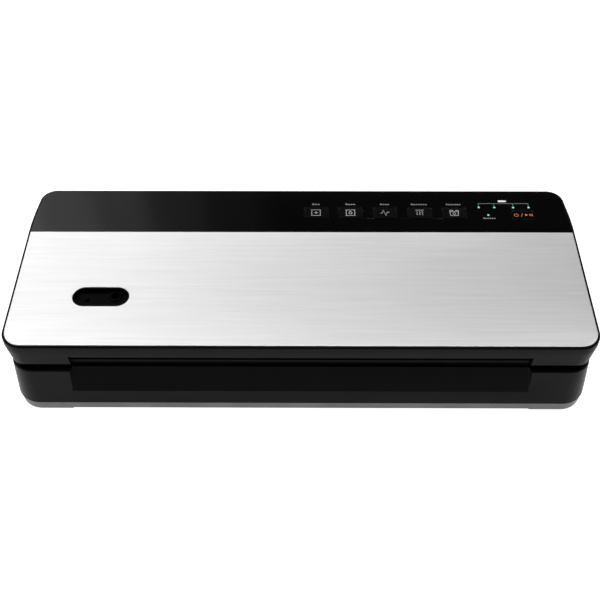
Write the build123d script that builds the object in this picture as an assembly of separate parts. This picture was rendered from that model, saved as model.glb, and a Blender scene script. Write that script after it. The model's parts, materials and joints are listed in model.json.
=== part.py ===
"""Countertop vacuum sealer with a hinged lid, in millimetres.

X runs along the length, -Y is the front where the bag goes in, +Z is up.
The origin is on the table, under the middle of the case.
"""
from build123d import *
from math import radians, tan
import os

# Driving dimensions of the whole case
LENGTH = 403.7
DEPTH = 154.0
PLATE_TOP = 72.0
WALL = 2.5
CORNER_R = 14.5
BASE_CORNER_R = 18.5
BACK_CORNER_R = 12.0
SIDE_LEAN = 0.0115
BEND_Y = 44.0
BEND_R = 200.0
BEND_ANGLE = 7.0
GAP = 0.15

# Heights, from the table up
PAD_Z = 0.4
COVER_Z = 1.4
COVER_FLOOR = 4.2
SPLIT_Z = 8.6
DECK_Z = 41.7
PLINTH_Z = 46.0
LID_Z = 48.0
NOTCH_Z = 58.6
SHOULDER_Z = 65.0
RIM_Z = 71.6
PLATE_Z = 71.2
CEILING_Z = 69.0

# How far each level stands in from the overall size: front and back, then each side
COVER_INSET = (2.3, 1.3)
COVER_TOP_INSET = (1.4, 0.2)
BASE_INSET = (1.2, 0.0)
DECK_INSET = (4.0, 1.85)
LID_INSET = (4.6, 3.8)
SHOULDER_INSET = (0.8, 1.25)
RIM_INSET = (0.0, 1.25)
PLATE_INSET = (1.8, 3.05)

# The raised deck and the trough in it
PLINTH_X = 183.0
PLINTH_FRONT = -66.5
PLINTH_BACK = 58.0
SLAB_Z = 42.0
TROUGH_X = 148.0
TROUGH_FRONT = -42.0
TROUGH_BACK = -4.0
TROUGH_Z = 28.0
TROUGH_WALL = 2.0
TROUGH_MID = (TROUGH_FRONT + TROUGH_BACK) / 2
TUB_W = 2 * (TROUGH_X + TROUGH_WALL)
TUB_D = TROUGH_BACK - TROUGH_FRONT + 2 * TROUGH_WALL

# The scoop in the front that guides the bag
SCOOP_TOP_X = 156.6
SCOOP_FRONT_X = 160.0
SCOOP_TOP_Y = -69.0
SCOOP_LOW_Y = -75.9
SCOOP_LOW_Z = 18.0
NOTCH_X = 156.4

# Sealing bar and gaskets
BAR_X = 158.8
BAR_Y = -60.0
BAR_HALF = 4.3
BAR_Z = 43.0
BAR_TOP = 46.5
STRIP_TOP = 46.8
TAPE_TOP = 47.0
GASKET_MID = -22.0
GASKET_X = 322.0
GASKET_Y = 60.0
GASKET_W = 6.0
GROOVE_Z = 44.0
LOWER_GASKET_TOP = 48.9
UPPER_GASKET_LOW = 49.2
LINER_Z = 53.0
LINER_TOP = 55.5
LINER_GROOVE = 54.5
LINER_INSET = (6.3, 5.95)
POCKET_Z = 58.0
POCKET_TOP = 60.0

# Hinge
HINGE_X = 130.0
HINGE_Y = 68.0
HINGE_Z = 49.0
LUG_R = 4.5
LUG_W = 10.0
EAR_W = 6.0
PIN_R = 2.0
PIN_RUN = 0.05
SWING_R = 5.3

# Panel, keys and lights
PANEL_Y = 31.6
KEY_PITCH = 25.6
KEY_FIRST_X = 10.9
KEY_Y = 51.6
KEY_W = 18.0
KEY_D = 11.1
KEY_TOP = 72.4
START_X = 164.0
START_Y = 49.9
START_W = 16.0
START_D = 9.0
STATUS_LIGHTS = [(132.1, 58.0), (143.7, 58.0), (157.7, 58.0), (169.2, 58.0), (138.4, 49.8)]
LIGHT_R = 0.8
BOARD_Z = 60.0
BOARD_TOP = 61.6

# Hose port in the lid
PORT_X = -137.9
PORT_Y = -31.9
PORT_W = 39.4
PORT_D = 17.6
PORT_FLOOR = 69.2
NIPPLE_X = -128.2
NIPPLE_Y = -29.8
HOSE_R = 3.0

# Latches
LATCH_Y = -30.0
BUTTON_Z = 31.0
BUTTON_W = 22.0
BUTTON_H = 9.0
BUTTON_BACK = 189.0
BUTTON_FLANGE = 196.5
BUTTON_FACE = 201.7
HOOK_LOW = 41.0
HOOK_TOP = 43.5

# Pump
MOTOR_Y = 34.0
MOTOR_Z = 21.5
MOTOR_R = 15.0
CRANK_THROW = 3.0

# Cord gland
GLAND_X = 150.0
GLAND_Z = 20.0
GLAND_R = 6.0
GLAND_END = 76.7
CORD_R = 3.3

BASE_SCREWS = [(-140, -55), (140, -55), (-112, 63), (112, 63), (0, -55), (34, 63)]
LID_SCREWS = [(-182, -52), (182, -52), (-182, 60), (182, 60), (-60, 22), (60, 22)]
FEET = [(-174, -60), (174, -60), (-174, 60), (174, 60)]
KEYS = ["dry", "moist", "pulse", "seal", "canister"]


def block(x0, x1, y0, y1, z0, z1):
    """A box between two corners."""
    middle = Pos((x0 + x1) / 2, (y0 + y1) / 2, (z0 + z1) / 2)
    return middle * Box(x1 - x0, y1 - y0, z1 - z0)


def rod_x(x0, x1, y, z, r):
    return Pos((x0 + x1) / 2, y, z) * Rot(0, 90, 0) * Cylinder(r, x1 - x0)


def rod_y(x, y0, y1, z, r):
    return Pos(x, (y0 + y1) / 2, z) * Rot(90, 0, 0) * Cylinder(r, y1 - y0)


def rod_z(x, y, z0, z1, r):
    return Pos(x, y, (z0 + z1) / 2) * Cylinder(r, z1 - z0)


def slab(x, y, w, d, r, z0, z1):
    """A plate with rounded corners."""
    return Pos(x, y, z0) * extrude(RectangleRounded(w, d, r), z1 - z0)


def oval(x, y, w, d, z0, z1):
    """A column with round ends."""
    return Pos(x, y, z0) * extrude(SlotOverall(w, d), z1 - z0)


def both_sides(piece):
    """The piece and its mirror image across the middle of the case."""
    return piece + mirror(piece, Plane.YZ)


def inward(level, thickness):
    return level[0] + thickness, level[1] + thickness


def outline(level, z, front_r=CORNER_R):
    """The case's plan: square at the front, drawn in a little towards the back."""
    inset, side = level
    front = -DEPTH / 2 + inset
    back = DEPTH / 2 - inset
    half = LENGTH / 2 - side
    mid_half = half - SIDE_LEAN * (BEND_Y - front)
    back_half = mid_half - (back - BEND_Y) * tan(radians(BEND_ANGLE))
    corners = [(-half, front), (half, front), (mid_half, BEND_Y),
               (back_half, back), (-back_half, back), (-mid_half, BEND_Y)]
    radii = [front_r - inset, front_r - inset, BEND_R,
             BACK_CORNER_R - inset, BACK_CORNER_R - inset, BEND_R]
    radii = [max(r, 1.0) for r in radii]
    return Pos(0, 0, z) * make_face(FilletPolyline(*corners, radius=radii, close=True))


def tapered(z0, level0, z1, level1, front_r=CORNER_R):
    """A slice of the case whose outline shrinks or grows on the way up."""
    return loft([outline(level0, z0, front_r), outline(level1, z1, front_r)], ruled=True)


def ring(mid_y, w, d, width, r, z0, z1):
    """A flat rubber ring."""
    inner = slab(0, mid_y, w - 2 * width, d - 2 * width, r - width, z0, z1)
    return slab(0, mid_y, w, d, r, z0, z1) - inner


def key_x(number):
    return KEY_FIRST_X + KEY_PITCH * number


def scoop(back_off, widen):
    """The wedge cut from the front under the bag mouth."""
    low = SCOOP_LOW_Z
    side = make_face(Polyline((SCOOP_TOP_Y + back_off, DECK_Z + 6), (SCOOP_TOP_Y + back_off, DECK_Z),
                              (SCOOP_LOW_Y + back_off, low - widen), (-90, low - widen),
                              (-90, DECK_Z + 6), (SCOOP_TOP_Y + back_off, DECK_Z + 6)))
    wedge = extrude(Plane.YZ * side, 200, both=True)
    top, front = SCOOP_TOP_X + widen, SCOOP_FRONT_X + widen
    plan = make_face(Polyline((-top, -60), (top, -60), (top, SCOOP_TOP_Y), (front, -77), (front, -92),
                              (-front, -92), (-front, -77), (-top, SCOOP_TOP_Y), (-top, -60)))
    return wedge & extrude(plan, 80)


def base_shell():
    """The black lower housing: walls, deck, trough, hinge lugs and screw posts."""
    outer = tapered(SPLIT_Z, BASE_INSET, DECK_Z, DECK_INSET, BASE_CORNER_R)
    outer = fillet(outer.edges().group_by(Axis.Z)[-1], 1.4)
    inner = tapered(SPLIT_Z - 1, inward(BASE_INSET, WALL), DECK_Z - WALL, inward(DECK_INSET, WALL), BASE_CORNER_R)
    inner -= scoop(WALL + 0.3, WALL)
    plinth_mid = (PLINTH_FRONT + PLINTH_BACK) / 2
    plinth = slab(0, plinth_mid, 2 * PLINTH_X, PLINTH_BACK - PLINTH_FRONT, 8, DECK_Z - 1, PLINTH_Z)
    under = slab(0, plinth_mid, 2 * (PLINTH_X - WALL), PLINTH_BACK - PLINTH_FRONT - 2 * WALL, 6,
                 DECK_Z - WALL - 1, SLAB_Z)
    shell = outer - scoop(0, 0) + plinth - inner - under
    shell -= slab(0, TROUGH_MID, TUB_W, TUB_D, 6, TROUGH_Z, PLINTH_Z + 1)
    shell -= ring(GASKET_MID, GASKET_X, GASKET_Y, GASKET_W, 12, GROOVE_Z, PLINTH_Z + 1)
    shell -= block(-BAR_X - 0.2, BAR_X + 0.2, BAR_Y - BAR_HALF - 0.2, BAR_Y + BAR_HALF + 0.2,
                   BAR_Z, PLINTH_Z + 1)
    for x, y in BASE_SCREWS:
        post_top = SLAB_Z + 0.5 if y < PLINTH_BACK else DECK_Z - 1
        shell += rod_z(x, y, COVER_FLOOR, post_top, 3.5)
        shell -= rod_z(x, y, COVER_FLOOR - 1, 19, 1.5)
    shell += both_sides(hinge_lug()) + both_sides(spring_rib())
    shell -= both_sides(latch_slot()) + both_sides(button_hole(0.3))
    return shell - rod_y(GLAND_X, 66, 80, GLAND_Z, GLAND_R + 0.05)


def trough_tub():
    """The long tub let into the deck, which the air is drawn from."""
    tub = slab(0, TROUGH_MID, TUB_W, TUB_D, 6, TROUGH_Z - TROUGH_WALL, PLINTH_Z)
    tub -= slab(0, TROUGH_MID, TUB_W - 2 * TROUGH_WALL, TUB_D - 2 * TROUGH_WALL, 4, TROUGH_Z, PLINTH_Z + 1)
    return tub - rod_y(25, TROUGH_BACK - 1, TROUGH_BACK + TROUGH_WALL + 1, 36, 2.1)


def hinge_lug():
    lug = rod_x(HINGE_X - LUG_W / 2, HINGE_X + LUG_W / 2, HINGE_Y, HINGE_Z, LUG_R)
    lug += block(HINGE_X - LUG_W / 2, HINGE_X + LUG_W / 2, 61, HINGE_Y + 0.5, DECK_Z - 0.5, HINGE_Z)
    return lug - rod_x(HINGE_X - 20, HINGE_X + 20, HINGE_Y, HINGE_Z, PIN_R)


def spring_rib():
    return block(179.5, 181.5, LATCH_Y - 6, LATCH_Y + 6, 31.6, SLAB_Z + 0.5)


def latch_slot():
    return block(162.8, 177.5, LATCH_Y - 8, LATCH_Y + 8, SLAB_Z - 3.5, PLINTH_Z + 1)


def button_hole(room):
    hole = SlotOverall(BUTTON_W + 2 * room, BUTTON_H + 2 * room)
    return Pos(185, LATCH_Y, BUTTON_Z) * extrude(Plane.YZ * hole, 20)


def bottom_cover():
    """The grey tray under the case, with four corner pads, vents and screw holes."""
    cover = tapered(PAD_Z, COVER_INSET, SPLIT_Z - 0.1, COVER_TOP_INSET, BASE_CORNER_R)
    cover -= block(-162, 162, -90, 90, -1, COVER_Z)
    cover -= block(-210, 210, -45, 45, -1, COVER_Z)
    cover -= tapered(COVER_FLOOR, inward(COVER_INSET, 1.6), SPLIT_Z, inward(COVER_TOP_INSET, WALL), BASE_CORNER_R)
    for x, y in FEET:
        cover -= rod_z(x, y, 0, 2.4, 7.1)
    for x, y in BASE_SCREWS:
        cover -= rod_z(x, y, 0, 2.9, 3.3) + rod_z(x, y, 0, COVER_FLOOR + 1, 1.7)
    for number in range(9):
        cover -= slab(-110 + 8 * number, 34, 4, 30, 1.9, 0, COVER_FLOOR + 1)
    return cover


def rubber_feet():
    return Compound([rod_z(x, y, 0, 2.4, 7.0) for x, y in FEET])


def screw(x, y, head_low, length):
    """A pan-head screw, head down."""
    return rod_z(x, y, head_low, head_low + 1.8, 2.9) + rod_z(x, y, head_low + 1.8, head_low + length, 1.45)


def bottom_screws():
    return Compound([screw(x, y, 2.9 - 1.8, 14) for x, y in BASE_SCREWS])


def drip_tray():
    """The lift-out tray that catches liquid in the trough."""
    w, d = 2 * TROUGH_X - 4, TROUGH_BACK - TROUGH_FRONT - 3
    tray = slab(0, TROUGH_MID, w, d, 3.5, TROUGH_Z, 37)
    tray -= slab(0, TROUGH_MID, w - 2.4, d - 2.4, 2.3, TROUGH_Z + 1.2, 38)
    tray -= rod_y(25, TROUGH_BACK - 6, TROUGH_BACK + 2, 36, 4)
    return tray + block(-12, 12, TROUGH_FRONT + 1.6, TROUGH_FRONT + 7, 35.5, 37)


def lower_gasket():
    return ring(GASKET_MID, GASKET_X, GASKET_Y, GASKET_W, 12, GROOVE_Z, LOWER_GASKET_TOP)


def seal_bar():
    return block(-BAR_X, BAR_X, BAR_Y - BAR_HALF, BAR_Y + BAR_HALF, BAR_Z, BAR_TOP)


def heater_strip():
    return block(-163, 163, BAR_Y - 1.5, BAR_Y + 1.5, BAR_TOP, STRIP_TOP)


def heater_tape():
    return block(-BAR_X + 1, BAR_X - 1, BAR_Y - 4.0, BAR_Y + 4.0, STRIP_TOP, TAPE_TOP)


def heater_clamp():
    """The spring clamp that holds one end of the heating strip."""
    clamp = slab(164.5, BAR_Y, 8.5, 9, 1, PLINTH_Z, 49)
    return clamp - block(155, 163.1, BAR_Y - 1.7, BAR_Y + 1.7, 45, STRIP_TOP + 0.1)


def suction_grille():
    """The cap over the air inlet in the trough's back wall."""
    grille = rod_y(25, TROUGH_BACK - 1.2, TROUGH_BACK, 36, 3.6)
    grille += rod_y(25, TROUGH_BACK, TROUGH_BACK + 7, 36, 2.1)
    return grille - rod_y(25, TROUGH_BACK - 3, TROUGH_BACK + 8, 36, 1.2)


def hinge_pin():
    reach = LUG_W / 2 + 0.3 + EAR_W
    return rod_x(HINGE_X - reach + 0.2, HINGE_X + reach - 0.2, HINGE_Y, HINGE_Z, PIN_R)


def cord_gland():
    """The strain relief bush in the back wall, with no cord in it."""
    gland = rod_y(GLAND_X, 68, GLAND_END, GLAND_Z, GLAND_R)
    gland += rod_y(GLAND_X, 68, 71.5, GLAND_Z, GLAND_R + 1.5)
    return gland - rod_y(GLAND_X, 60, 80, GLAND_Z, CORD_R)


def pump_motor():
    motor = rod_x(-102, -46, MOTOR_Y, MOTOR_Z, MOTOR_R)
    motor += rod_x(-105, -102, MOTOR_Y, MOTOR_Z, 5)
    return motor - rod_x(-60, -40, MOTOR_Y, MOTOR_Z, 1.6)


def motor_cradle():
    """The rubber-lined saddle that holds the motor off the floor."""
    cradle = block(-95, -53, MOTOR_Y - 13, MOTOR_Y + 13, COVER_FLOOR + 0.1, 14)
    return cradle - rod_x(-110, -40, MOTOR_Y, MOTOR_Z, MOTOR_R + 0.05)


def motor_shaft():
    return rod_x(-58, -38, MOTOR_Y, MOTOR_Z, 1.5)


def crank_disc():
    crank = rod_x(-38, -34.5, MOTOR_Y, MOTOR_Z, 7.5)
    return crank + rod_x(-34.5, -27, MOTOR_Y + CRANK_THROW, MOTOR_Z, 1.5)


def pump_yoke():
    """The pushrod between the two diaphragms, held at mid-stroke."""
    yoke = block(-32.5, -28, MOTOR_Y - 17, MOTOR_Y + 17, MOTOR_Z - 8, MOTOR_Z + 8)
    room = CRANK_THROW + 1.5 + 0.6
    return yoke - block(-34, -26, MOTOR_Y - room, MOTOR_Y + room, MOTOR_Z - room, MOTOR_Z + room)


def pump_heads():
    """The two diaphragm chambers, one each end of the pushrod."""
    heads = []
    for side in (-1, 1):
        low, high = sorted([MOTOR_Y + side * 17, MOTOR_Y + side * 29])
        heads.append(rod_y(-30, low, high, MOTOR_Z, 13))
    return Compound(heads)


def pump_frame():
    """The pressed bracket that ties the motor to the pump heads."""
    frame = block(-45.8, -44, MOTOR_Y - 29, MOTOR_Y + 29, COVER_FLOOR + 0.1, 37)
    frame += block(-45.8, -15, MOTOR_Y - 29, MOTOR_Y + 29, COVER_FLOOR + 0.1, 6.5)
    return frame - rod_x(-50, -40, MOTOR_Y, MOTOR_Z, 5)


def vacuum_hose():
    """The tube from the pump to the inlet in the trough."""
    route = FilletPolyline((-17, 57, 21.5), (2, 57, 21.5), (17, 45, 23), (25, 28, 30), (25, 13, 36), (25, 3, 36),
                           radius=[12, 14, 14, 10])
    start = Plane(origin=(-17, 57, 21.5), z_dir=(1, 0, 0))
    return sweep(start * Circle(2.6), path=route)


def release_valve():
    """The solenoid that lets air back into the chamber."""
    valve = rod_z(0, 22, COVER_FLOOR + 0.1, 20, 8) + block(-9, 9, 13, 31, COVER_FLOOR + 0.1, 7)
    return valve + rod_z(0, 22, 20, 25, 2.5)


def transformer():
    core = block(62, 108, 14, 54, 5, 37)
    core -= block(60, 68, 10, 60, 3, 13) + block(102, 110, 10, 60, 3, 13)
    return core + slab(85, 34, 30, 52, 5, 9, 33)


def power_board():
    board = block(116, 172, 8, 60, 9, 10.6)
    for x, y in [(120, 12), (168, 12), (120, 56), (168, 56)]:
        board += rod_z(x, y, COVER_FLOOR + 0.1, 9, 2.5)
    return board


def board_parts():
    """Capacitor, relay, fuse and coil on the power board."""
    parts = [rod_z(128, 24, 10.6, 32, 6.5), block(142, 160, 16, 30, 10.6, 25),
             rod_z(130, 42, 10.6, 26, 5), block(142, 164, 40, 52, 10.6, 22)]
    return Compound(parts)


def lid_shell():
    """The black lid housing, open below, with a shallow seat for the two top plates."""
    upper = tapered(SHOULDER_Z, SHOULDER_INSET, RIM_Z, RIM_INSET)
    upper = fillet(upper.edges().group_by(Axis.Z)[-1], 1.1)
    outer = tapered(LID_Z, LID_INSET, SHOULDER_Z, SHOULDER_INSET) + upper
    inner = tapered(LID_Z - 1, inward(LID_INSET, WALL + 0.2), SHOULDER_Z, inward(SHOULDER_INSET, WALL))
    inner += tapered(SHOULDER_Z, inward(SHOULDER_INSET, WALL), CEILING_Z, inward(SHOULDER_INSET, WALL - 0.3))
    shell = outer - inner
    shell -= extrude(outline(inward(PLATE_INSET, -0.1), PLATE_Z), 2)
    shell -= block(-NOTCH_X, NOTCH_X, -90, -68, LID_Z - 1, NOTCH_Z)
    for x, y in LID_SCREWS:
        shell += rod_z(x, y, LINER_TOP, CEILING_Z + 0.5, 3.5)
        shell -= rod_z(x, y, LINER_TOP - 1, 66, 1.5)
    for x, y in [(4, 41), (4, 67), (171, 40.5), (171, 67)]:
        shell += rod_z(x, y, BOARD_TOP, CEILING_Z + 0.5, 2.2)
    for number in range(len(KEYS)):
        shell -= slab(key_x(number), KEY_Y, KEY_W + 0.3, KEY_D + 0.3, 1.6, 60, 80)
    shell -= slab(START_X, START_Y, START_W + 0.3, START_D + 0.3, 1.6, 60, 80)
    for x, y in STATUS_LIGHTS:
        shell -= rod_z(x, y, 60, 80, LIGHT_R + 0.05)
    shell -= oval(PORT_X, PORT_Y, PORT_W, PORT_D, 60, 80)
    hinge_room = rod_x(HINGE_X - 12, HINGE_X + 12, HINGE_Y, HINGE_Z, SWING_R)
    return shell - both_sides(hinge_room)


def top_plates():
    """The two plates of the lid's top, before they are parted."""
    return extrude(outline(PLATE_INSET, PLATE_Z), PLATE_TOP - PLATE_Z)


def steel_plate():
    plate = top_plates() & block(-210, 210, -80, PANEL_Y - 0.1, 70, 75)
    return plate - oval(PORT_X, PORT_Y, PORT_W, PORT_D, 60, 80)


def control_panel():
    panel = top_plates() & block(-210, 210, PANEL_Y, 80, 70, 75)
    for number in range(len(KEYS)):
        panel -= slab(key_x(number), KEY_Y, KEY_W + 0.3, KEY_D + 0.3, 1.6, 60, 80)
    panel -= slab(START_X, START_Y, START_W + 0.3, START_D + 0.3, 1.6, 60, 80)
    for x, y in STATUS_LIGHTS:
        panel -= rod_z(x, y, 60, 80, LIGHT_R + 0.05)
    return panel


def key(x, y, w, d, top):
    """A key cap with a flange that keeps it in, and a stem over its switch."""
    cap = slab(x, y, w, d, 1.5, 68.5, top)
    cap += slab(x, y, w + 1.6, d + 1.6, 1.5, 67.9, 68.7)
    return cap + rod_z(x, y, 66.4, 68, 2)


def tact_switches():
    places = [(key_x(number), KEY_Y) for number in range(len(KEYS))] + [(START_X, START_Y)]
    return Compound([block(x - 3, x + 3, y - 3, y + 3, BOARD_TOP, 64.8) + rod_z(x, y, 64.8, 65.3, 1.6)
                     for x, y in places])


def control_board():
    return block(0, 175, 38, 70, BOARD_Z, BOARD_TOP)


def led_lenses():
    return Compound([rod_z(x, y, BOARD_TOP, PLATE_TOP + 0.03, LIGHT_R) for x, y in STATUS_LIGHTS])


def port_insert():
    """The oval dish in the lid with the hose socket at one end."""
    dish = oval(PORT_X, PORT_Y, PORT_W - 0.3, PORT_D - 0.3, 66.5, PLATE_TOP - 0.05)
    dish -= oval(PORT_X, PORT_Y, PORT_W - 3.3, PORT_D - 3.3, PORT_FLOOR, 80)
    dish += rod_z(NIPPLE_X, NIPPLE_Y, 57.2, 66.6, 5)
    dish += rod_z(NIPPLE_X, NIPPLE_Y, PORT_FLOOR - 0.5, PORT_FLOOR + 1.2, HOSE_R + 1.4)
    dish -= rod_z(NIPPLE_X, NIPPLE_Y, 50, 80, HOSE_R)
    return dish - rod_z(PORT_X - 9.3, PORT_Y - 1.5, 67.5, 80, 1.6)


def port_seal():
    return Pos(NIPPLE_X, NIPPLE_Y, POCKET_TOP + 1.0) * Torus(6.1, 1.0)


def lid_liner():
    """The lid's inner panel: chamber pocket, gasket groove and hinge ears."""
    liner = extrude(outline(LINER_INSET, LINER_Z), LINER_TOP - LINER_Z)
    liner += block(-160, 160, -70.7, -68.7, LINER_Z, 64)
    liner += slab(0, TROUGH_MID, 2 * TROUGH_X, 42, 6, LINER_Z, POCKET_TOP)
    liner -= slab(0, TROUGH_MID, 2 * TROUGH_X - 4, 38, 4, LINER_Z - 1, POCKET_Z)
    liner -= ring(GASKET_MID, GASKET_X, GASKET_Y, GASKET_W, 12, LINER_Z - 1, LINER_GROOVE)
    liner -= rod_z(NIPPLE_X, NIPPLE_Y, 50, 65, 5.05)
    for x, y in LID_SCREWS:
        liner -= rod_z(x, y, 50, 60, 1.7)
    near, far = HINGE_X - LUG_W / 2 - 0.3, HINGE_X + LUG_W / 2 + 0.3
    liner -= both_sides(rod_x(near, far, HINGE_Y, HINGE_Z, SWING_R))
    ears = Part()
    for low, high in [(near - EAR_W, near), (far, far + EAR_W)]:
        ears += rod_x(low, high, HINGE_Y, HINGE_Z, LUG_R)
        ears += block(low, high, 63.5, 70.4, HINGE_Z, LINER_TOP)
    ears -= rod_x(HINGE_X - 20, HINGE_X + 20, HINGE_Y, HINGE_Z, PIN_R + PIN_RUN)
    return liner + both_sides(ears)


def upper_gasket():
    return ring(GASKET_MID, GASKET_X, GASKET_Y, GASKET_W, 12, UPPER_GASKET_LOW, LINER_GROOVE)


def press_strip_holder():
    return block(-158, 158, BAR_Y - 5, BAR_Y + 4.8, 51.5, LINER_Z)


def press_strip():
    strip = block(-155, 155, BAR_Y - 2.5, BAR_Y + 2.5, 50.3, 51.5)
    return fillet(strip.edges().filter_by(Axis.X).group_by(Axis.Z)[0], 0.9)


def lid_catch():
    """The barbed tongue that goes down to the latch."""
    tongue = block(173, 176, LATCH_Y - 6, LATCH_Y + 6, 43.8, LINER_Z)
    return tongue + block(171, 173, LATCH_Y - 6, LATCH_Y + 6, 43.8, 45.8)


def lid_screws():
    return Compound([screw(x, y, LINER_Z - 1.8, 13) for x, y in LID_SCREWS])


def release_button():
    """The side button, with a flange that keeps it in the wall."""
    place = Pos(BUTTON_BACK, LATCH_Y, BUTTON_Z)
    button = place * extrude(Plane.YZ * SlotOverall(BUTTON_W, BUTTON_H), BUTTON_FACE - BUTTON_BACK)
    button = fillet(button.edges().group_by(Axis.X)[-1], 1.2)
    return button + place * extrude(Plane.YZ * SlotOverall(25, 12), BUTTON_FLANGE - BUTTON_BACK)


def latch_hook():
    """The slider behind the button, with the hook that holds the lid's catch."""
    hook = block(166, BUTTON_BACK, LATCH_Y - 4, LATCH_Y + 4, 25.2, 28.5)
    hook += block(166, 169, LATCH_Y - 4, LATCH_Y + 4, 25.2, HOOK_TOP)
    return hook + block(169, 172.4, LATCH_Y - 4, LATCH_Y + 4, HOOK_LOW, HOOK_TOP)


def release_spring():
    """The coil spring between the button and the rib in the base."""
    coil = Helix(pitch=1.6, height=6.2, radius=2.2)
    wire = sweep((coil ^ 0) * Circle(0.3), path=coil, is_frenet=True)
    return Pos(182.2, LATCH_Y, 34) * Rot(0, 90, 0) * wire


def save(name, shape):
    shape.label = name
    export_step(shape, f"parts/{name}.step")


def main():
    os.makedirs("parts", exist_ok=True)
    single = [base_shell, trough_tub, bottom_cover, rubber_feet, bottom_screws, drip_tray, lower_gasket, seal_bar,
              heater_strip, heater_tape, suction_grille, cord_gland, pump_motor, motor_cradle,
              motor_shaft, crank_disc, pump_yoke, pump_heads, pump_frame, vacuum_hose, release_valve,
              transformer, power_board, board_parts, lid_shell, steel_plate, control_panel,
              tact_switches, control_board, led_lenses, port_insert, port_seal, lid_liner,
              upper_gasket, press_strip_holder, press_strip, lid_screws]
    for make in single:
        save(make.__name__, make())
    for name, piece in [("heater_clamps", heater_clamp()), ("hinge_pins", hinge_pin()),
                        ("lid_catches", lid_catch())]:
        save(name, Compound([piece, mirror(piece, Plane.YZ)]))
    for name, piece in [("release_button", release_button()), ("latch_hook", latch_hook()),
                        ("release_spring", release_spring())]:
        save(f"right_{name}", piece)
        save(f"left_{name}", mirror(piece, Plane.YZ))
    for number, name in enumerate(KEYS):
        save(f"{name}_key", key(key_x(number), KEY_Y, KEY_W, KEY_D, KEY_TOP))
    save("start_key", key(START_X, START_Y, START_W, START_D, PLATE_TOP))


main()
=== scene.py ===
"""Looks of a countertop vacuum sealer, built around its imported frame."""
import json
from math import cos, pi, radians, sin

import bmesh
import bpy
from mathutils import Matrix, Vector


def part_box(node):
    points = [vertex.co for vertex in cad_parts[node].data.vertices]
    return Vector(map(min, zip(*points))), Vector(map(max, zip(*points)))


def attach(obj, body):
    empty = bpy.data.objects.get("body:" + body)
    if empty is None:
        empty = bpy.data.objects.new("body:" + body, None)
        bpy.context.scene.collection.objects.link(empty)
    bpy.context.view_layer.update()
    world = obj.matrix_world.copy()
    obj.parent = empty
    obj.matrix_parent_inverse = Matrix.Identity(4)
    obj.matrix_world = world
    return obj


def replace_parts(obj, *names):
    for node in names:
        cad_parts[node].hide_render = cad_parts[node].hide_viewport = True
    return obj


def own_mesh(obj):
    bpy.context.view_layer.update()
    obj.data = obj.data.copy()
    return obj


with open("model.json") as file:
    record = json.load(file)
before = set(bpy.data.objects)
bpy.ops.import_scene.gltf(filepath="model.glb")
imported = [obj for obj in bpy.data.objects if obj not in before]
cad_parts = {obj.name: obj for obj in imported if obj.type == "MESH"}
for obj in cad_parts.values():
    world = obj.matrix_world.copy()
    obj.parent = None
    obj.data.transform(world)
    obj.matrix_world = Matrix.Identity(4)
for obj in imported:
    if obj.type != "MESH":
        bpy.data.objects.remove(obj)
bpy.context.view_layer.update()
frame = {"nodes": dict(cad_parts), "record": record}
nodes = frame["nodes"]
MM = 0.001

# ---------------------------------------------------------------- camera
# A long lens in front of the machine, looking down on the lid at about 48 degrees.
LENS = 62.34
CAMERA_PLACE = Vector((0.004978, -0.508431, 0.605566))
PITCH, YAW, ROLL = radians(48.397), radians(-0.651), radians(-0.359)

forward = Vector((sin(YAW) * cos(PITCH), cos(YAW) * cos(PITCH), -sin(PITCH)))
level_right = forward.cross(Vector((0, 0, 1))).normalized()
level_up = level_right.cross(forward)
right = level_right * cos(ROLL) + level_up * sin(ROLL)
up = level_up * cos(ROLL) - level_right * sin(ROLL)
camera = bpy.data.objects.new("camera", bpy.data.cameras.new("camera"))
camera.data.lens = LENS
camera.matrix_world = Matrix.Translation(CAMERA_PLACE) @ Matrix((right, up, -forward)).transposed().to_4x4()
bpy.context.collection.objects.link(camera)
bpy.context.scene.camera = camera
bpy.context.scene.view_settings.view_transform = "Standard"

# ---------------------------------------------------------------- studio
# A pale floor that glows to plain white, wide lamps overhead and behind, and small ones at both sides. A row of
# narrow lamps behind on the left lies along the gloss strip and fades towards its middle.
FLOOR_HALF = 4.0
FLOOR_GLOW = 0.95
WORLD_GREY = 0.03
# each lamp's place, the point it is aimed at, its width and height, and its power
LAMPS = {
    "overhead": ((0.0, 0.35, 1.45), (0.0, 0.0, 0.0), (2.4, 0.5), 22),
    "back_low": ((0.0, 1.90, 0.95), (0.0, 0.0, 0.05), (2.4, 0.4), 18.5),
    "back_left": ((-1.15, 1.20, 1.17), (-0.1, 0.05, 0.07), (0.8, 0.8), 3.6),
    "left_front": ((-1.4, -0.9, 0.55), (0.0, 0.0, 0.03), (0.5, 0.5), 5),
    "right_fill": ((1.7, -0.5, 0.9), (0.0, 0.0, 0.05), (0.6, 0.6), 3),
}
FADE_WIDTH = 0.13
FADE_FIRST_X = -0.685
FADE_POWERS = (0.42, 0.31, 0.19, 0.072, 0.022)
for step, power in enumerate(FADE_POWERS):
    LAMPS[f"fade_{step + 1}"] = ((FADE_FIRST_X + FADE_WIDTH * step, 1.20, 1.17), (-0.1, 0.05, 0.07),
                                 (FADE_WIDTH, 0.8), power)

world = bpy.data.worlds.new("studio")
world.use_nodes = True
world.node_tree.nodes["Background"].inputs["Color"].default_value = (1, 1, 1, 1)
world.node_tree.nodes["Background"].inputs["Strength"].default_value = WORLD_GREY
bpy.context.scene.world = world

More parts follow.
